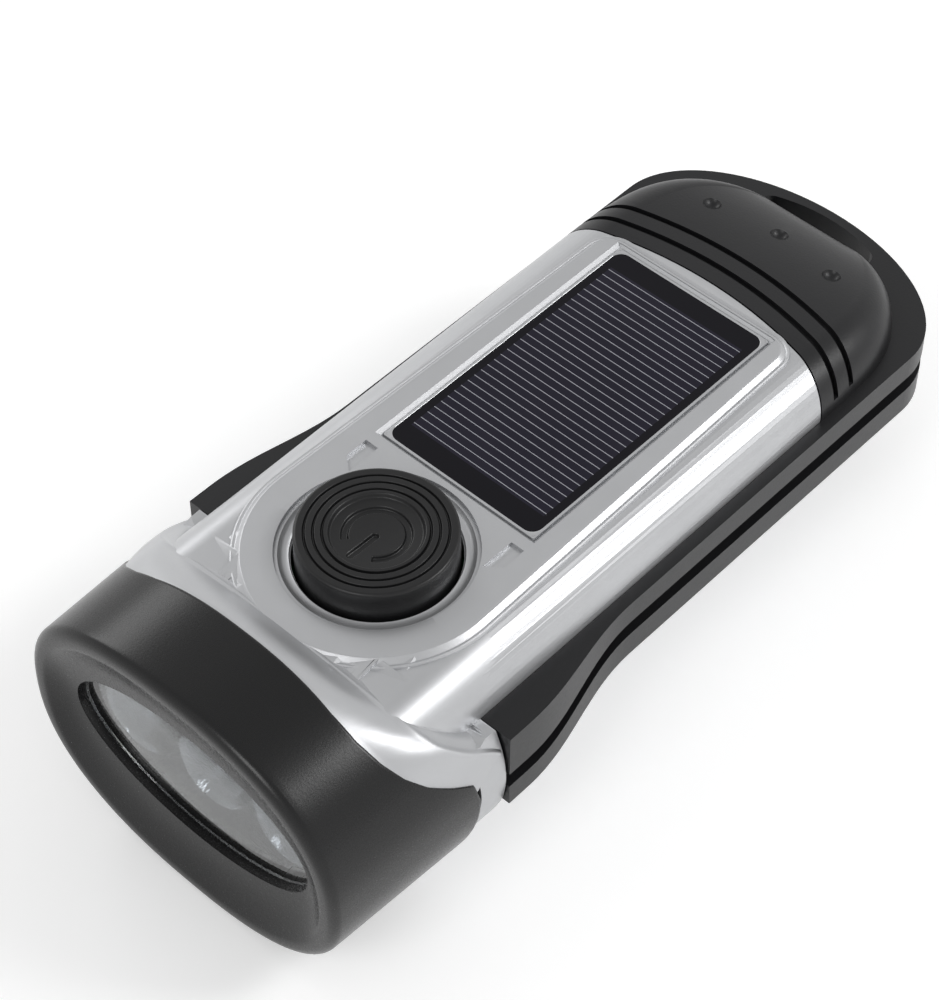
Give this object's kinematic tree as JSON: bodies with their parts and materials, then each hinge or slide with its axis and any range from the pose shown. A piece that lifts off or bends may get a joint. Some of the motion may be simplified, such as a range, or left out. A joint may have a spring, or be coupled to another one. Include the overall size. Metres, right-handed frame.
{
  "type": "hand crank flashlight",
  "caption": "Hand crank flashlight with an oval head, lamps in cups, solar panel, rubber push button, folding crank with a knob and a tail lug for a lanyard.",
  "frame": {"origin": "on the surface that the light lies on, under the middle of its length and width", "axes": "+X along the body towards the lamp head, +Z from the crank side to the solar panel side, +Y across"},
  "size_m": [0.1474, 0.0642, 0.0471],
  "materials": {
    "black_gloss_plastic": "moulded black ABS with a satin gloss",
    "black_plastic": "moulded black ABS with a fine even grain",
    "grey_plastic": "moulded dark grey ABS",
    "silver_paint": "ABS sprayed with satin metallic silver paint",
    "clear_lens": "polished clear acrylic",
    "chromed_plastic": "vacuum metallised plastic",
    "lamp_resin": "cast epoxy lamp",
    "solar_cell": "silicon cell under cast resin with a printed silver grid",
    "black_rubber": "moulded silicone rubber, matt",
    "white_plastic": "moulded acetal",
    "circuit_board": "glass epoxy board with green lacquer",
    "zinc_screw": "zinc plated steel",
    "steel_pin": "ground steel",
    "brass_gear": "cut brass",
    "copper_winding": "enamelled copper wire",
    "cell_can": "nickel plated steel can"
  },
  "bodies": {
    "body": {"head_bezel": "black_gloss_plastic", "lens": "clear_lens", "lens_seal": "black_rubber", "reflector": "chromed_plastic", "led_board": "circuit_board", "leds": "lamp_resin", "head_screws": "zinc_screw", "top_shell": "silver_paint", "back_shell": "silver_paint", "solar_panel": "solar_cell", "main_board": "circuit_board", "board_screws": "zinc_screw", "push_switch": "black_plastic", "frame_upper": "black_plastic", "frame_lower": "black_plastic", "knob_pocket": "grey_plastic", "crank_rotor": "black_plastic", "rotor_screws": "zinc_screw", "hinge_pin": "steel_pin", "ratchet_pawls": "white_plastic", "gear_axle": "steel_pin", "gear_plate": "grey_plastic", "plate_screws": "zinc_screw", "generator_can": "zinc_screw", "generator_coil": "copper_winding", "battery_cells": "cell_can", "battery_tray": "grey_plastic", "battery_clips": "steel_pin"},
    "crank": {"crank_arm": "silver_paint", "knob_axle": "steel_pin"},
    "knob": {"crank_knob": "grey_plastic"},
    "drive": {"drive_gear": "white_plastic"},
    "compound": {"compound_gear": "white_plastic"},
    "generator": {"generator_pinion": "brass_gear", "generator_rotor": "steel_pin"},
    "button": {"button_cap": "black_rubber", "button_stem": "white_plastic"},
    "plunger": {"switch_plunger": "white_plastic"}
  },
  "joints": [
    {"name": "crank_fold", "type": "hinge", "parent": "body", "child": "crank", "pos_m": [-0.00075, 0, 0.0021], "axis": [0, -1, 0], "range_deg": [0, 180]},
    {"name": "knob_spin", "type": "hinge", "parent": "crank", "child": "knob", "pos_m": [-0.05625, 0, 0.02], "axis": [0, 0, 1], "continuous": true},
    {"name": "drive_gear_spin", "type": "hinge", "parent": "body", "child": "drive", "pos_m": [0.00225, 0, 0.0147], "axis": [0, 0, 1], "continuous": true},
    {"name": "compound_spin", "type": "hinge", "parent": "body", "child": "compound", "pos_m": [0.02465, 0, 0.0167], "axis": [0, 0, 1], "continuous": true},
    {"name": "generator_spin", "type": "hinge", "parent": "body", "child": "generator", "pos_m": [0.00965, 0, 0.0225], "axis": [0, 0, 1], "continuous": true},
    {"name": "button_press", "type": "slide", "parent": "body", "child": "button", "axis": [0, 0, -1], "range_m": [0, 0.001], "stiffness_N_per_m": 2500},
    {"name": "plunger_press", "type": "slide", "parent": "body", "child": "plunger", "axis": [0, 0, -1], "range_m": [0, 0.001]}
  ],
  "couplings": [
    {"joint": "compound_spin", "follows": "drive_gear_spin", "ratio": -3.6667},
    {"joint": "generator_spin", "follows": "drive_gear_spin", "ratio": 14.667},
    {"joint": "plunger_press", "follows": "button_press", "ratio": 1}
  ]
}
